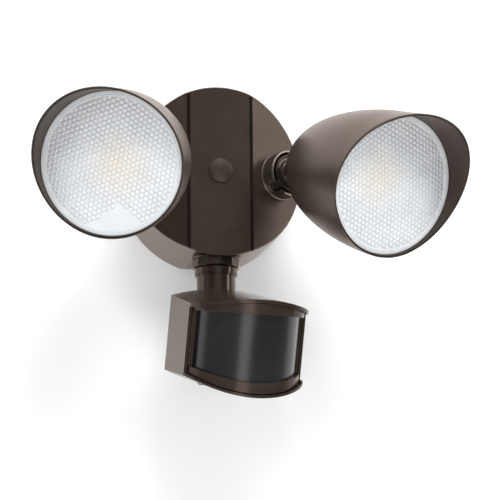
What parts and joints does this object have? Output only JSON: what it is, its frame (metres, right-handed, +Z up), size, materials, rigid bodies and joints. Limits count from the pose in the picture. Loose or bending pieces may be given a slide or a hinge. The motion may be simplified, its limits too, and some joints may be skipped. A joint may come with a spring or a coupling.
{
  "type": "motion sensor security light",
  "caption": "Wall-mounted outdoor light with two hooded bell lamp heads on ball swivels, a round canopy and a tilting motion sensor below it.",
  "frame": {"origin": "centre of the back of the canopy, on the wall, midway between the crossbar slots", "axes": "+Z up, -Y out of the wall towards the viewer, +X to the right seen from the front"},
  "size_m": [0.3392, 0.24, 0.2675],
  "materials": {
    "bronze": "satin bronze powder coat",
    "bronze_plastic": "satin",
    "lens_clear": "prismatic",
    "black_window": "gloss",
    "rubber_black": "matte",
    "zinc_steel": "zinc plated",
    "reflector_white": "gloss white",
    "board_green": "solder mask",
    "board_white": "solder mask",
    "emitter_yellow": "phosphor",
    "sink_alu": "cast",
    "driver_white": "matte",
    "dial_black": "matte",
    "detector_metal": "can"
  },
  "bodies": {
    "canopy": {"canopy_housing": "bronze", "wall_gasket": "rubber_black", "crossbar": "zinc_steel", "ground_screw": "zinc_steel", "centre_bolt": "zinc_steel", "bolt_washer": "rubber_black", "centre_cap": "bronze_plastic", "driver_case": "driver_white", "driver_screws": "zinc_steel", "neck_gasket": "rubber_black", "lock_nut": "bronze_plastic", "right_socket_cup": "bronze", "right_cup_nut": "zinc_steel", "left_socket_cup": "bronze", "left_cup_nut": "zinc_steel"},
    "right_swivel": {"right_arm": "bronze", "right_arm_retainer": "zinc_steel"},
    "right_knuckle": {"right_ball_socket": "bronze", "right_clamp_ring": "zinc_steel"},
    "right_lamp": {"right_shell": "bronze", "right_lens": "lens_clear", "right_lens_seal": "rubber_black", "right_reflector": "reflector_white", "right_led_board": "board_white", "right_emitter": "emitter_yellow", "right_heat_sink": "sink_alu", "right_sink_screws": "zinc_steel"},
    "left_swivel": {"left_arm": "bronze", "left_arm_retainer": "zinc_steel"},
    "left_knuckle": {"left_ball_socket": "bronze", "left_clamp_ring": "zinc_steel"},
    "left_lamp": {"left_shell": "bronze", "left_lens": "lens_clear", "left_lens_seal": "rubber_black", "left_reflector": "reflector_white", "left_led_board": "board_white", "left_emitter": "emitter_yellow", "left_heat_sink": "sink_alu", "left_sink_screws": "zinc_steel"},
    "sensor_arm": {"sensor_neck": "bronze_plastic", "neck_nut": "bronze_plastic"},
    "sensor": {"sensor_housing": "bronze_plastic", "sensor_frame": "bronze_plastic", "sensor_window": "black_window", "sensor_cover": "bronze_plastic", "control_board": "board_green", "detector_board": "board_green", "motion_detector": "detector_metal", "pivot_screw": "zinc_steel", "pivot_nut": "zinc_steel", "cover_screws": "zinc_steel"},
    "time_dial": {"time_dial": "dial_black"},
    "range_dial": {"range_dial": "dial_black"},
    "dusk_dial": {"dusk_dial": "dial_black"}
  },
  "joints": [
    {"name": "right_pan", "type": "hinge", "parent": "canopy", "child": "right_swivel", "pos_m": [0.052, -0.05622, 0], "axis": [0.3714, -0.9285, 0], "range_deg": [-92.9, 87.1]},
    {"name": "right_tilt", "type": "hinge", "parent": "right_swivel", "child": "right_knuckle", "pos_m": [0.06845, -0.09735, 0], "axis": [0.9273, 0.3709, 0.0506], "range_deg": [-56, 14]},
    {"name": "right_spin", "type": "hinge", "parent": "right_knuckle", "child": "right_lamp", "pos_m": [0.06845, -0.09735, 0], "axis": [-0.3635, 0.8601, 0.3579], "range_deg": [-110.3, 69.7]},
    {"name": "left_pan", "type": "hinge", "parent": "canopy", "child": "left_swivel", "pos_m": [-0.052, -0.05622, 0], "axis": [0.3714, 0.9285, 0], "range_deg": [-96.8, 83.2]},
    {"name": "left_tilt", "type": "hinge", "parent": "left_swivel", "child": "left_knuckle", "pos_m": [-0.06845, -0.09735, 0], "axis": [0.922, -0.3688, -0.1184], "range_deg": [-53, 17]},
    {"name": "left_spin", "type": "hinge", "parent": "left_knuckle", "child": "left_lamp", "pos_m": [-0.06845, -0.09735, 0], "axis": [-0.3872, -0.8695, -0.3068], "range_deg": [-113.1, 66.9]},
    {"name": "sensor_pan", "type": "hinge", "parent": "canopy", "child": "sensor_arm", "pos_m": [0, -0.0455, -0.06708], "axis": [0, 0, 1], "range_deg": [-67.9, 52.1]},
    {"name": "sensor_tilt", "type": "hinge", "parent": "sensor_arm", "child": "sensor", "pos_m": [0, -0.0455, -0.1135], "axis": [0.9905, 0.1374, 0], "range_deg": [-16.8, 13.2]},
    {"name": "time_dial_turn", "type": "hinge", "parent": "sensor", "child": "time_dial", "pos_m": [-0.01691, -0.0764, -0.17897], "axis": [0.0397, -0.2863, 0.9573], "range_deg": [-135, 135]},
    {"name": "range_dial_turn", "type": "hinge", "parent": "sensor", "child": "range_dial", "pos_m": [0.00389, -0.07352, -0.17897], "axis": [0.0397, -0.2863, 0.9573], "range_deg": [-135, 135]},
    {"name": "dusk_dial_turn", "type": "hinge", "parent": "sensor", "child": "dusk_dial", "pos_m": [0.02469, -0.07063, -0.17897], "axis": [0.0397, -0.2863, 0.9573], "range_deg": [-135, 135]}
  ]
}
